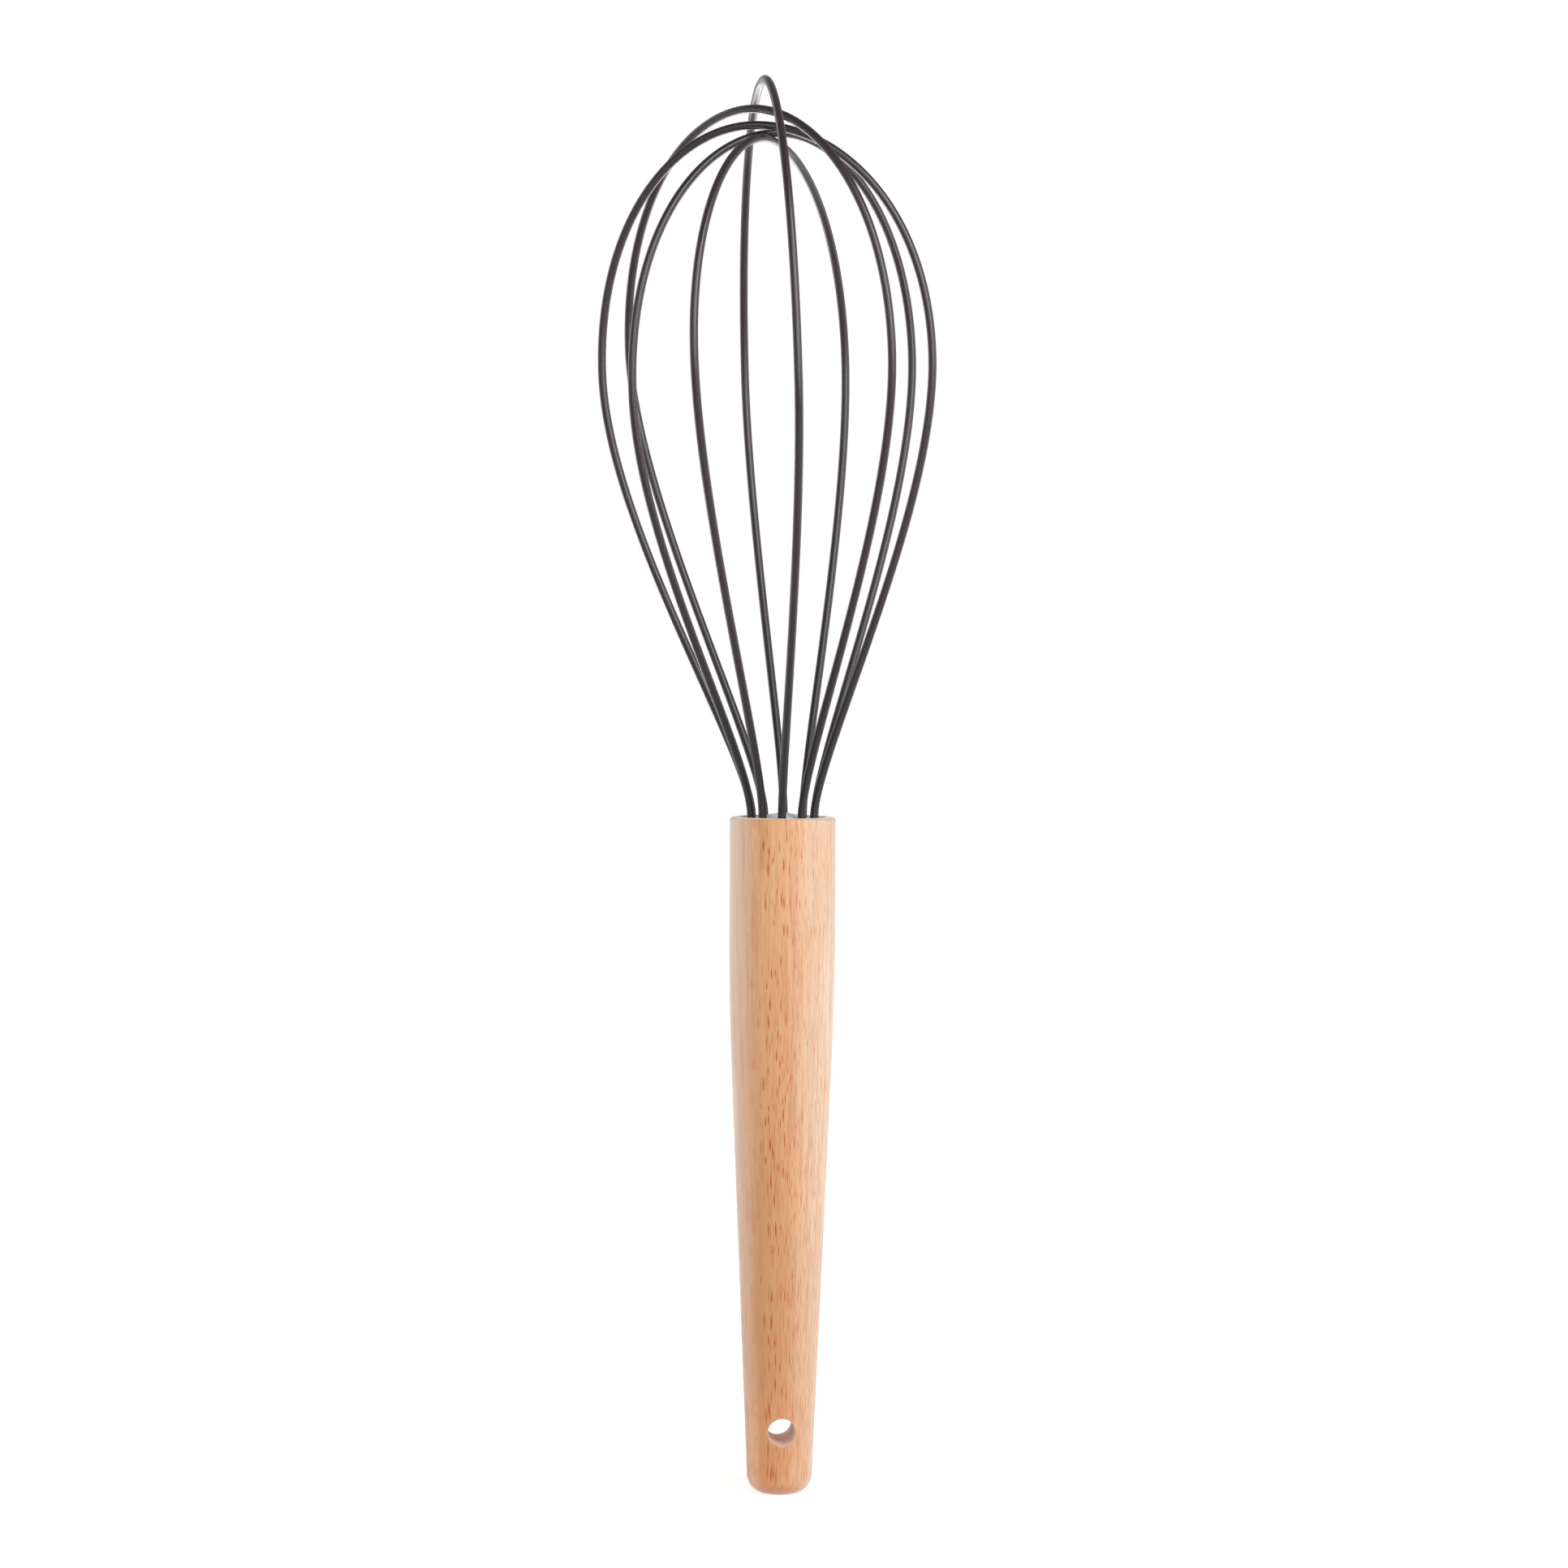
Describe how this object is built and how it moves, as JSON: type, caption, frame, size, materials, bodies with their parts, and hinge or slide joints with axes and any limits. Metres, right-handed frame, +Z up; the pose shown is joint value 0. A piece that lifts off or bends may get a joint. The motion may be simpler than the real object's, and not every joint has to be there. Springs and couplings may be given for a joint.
{
  "type": "whisk",
  "caption": "Balloon whisk for beating and stirring: crossing loops of silicone-covered spring wire set in a turned beech handle with a hanging hole.",
  "frame": {"origin": "centre of the flat butt of the handle", "axes": "+Z up along the handle's axis towards the head, Y along the hanging hole with -Y at the front, +X to the right"},
  "size_m": [0.0702, 0.0718, 0.2995],
  "materials": {
    "beech": "satin oiled beech",
    "spacer_grey": "smooth silver grey",
    "resin": "clear amber potting",
    "steel": "drawn spring wire",
    "silicone": "satin black"
  },
  "bodies": {
    "root": {"handle": "beech", "wire_spacer": "spacer_grey", "resin_fill": "resin", "steel_core_1": "steel", "steel_core_2": "steel", "steel_core_3": "steel", "steel_core_4": "steel", "steel_core_5": "steel", "silicone_sleeve_1": "silicone", "silicone_sleeve_2": "silicone", "silicone_sleeve_3": "silicone", "silicone_sleeve_4": "silicone", "silicone_sleeve_5": "silicone"}
  },
  "joints": []
}
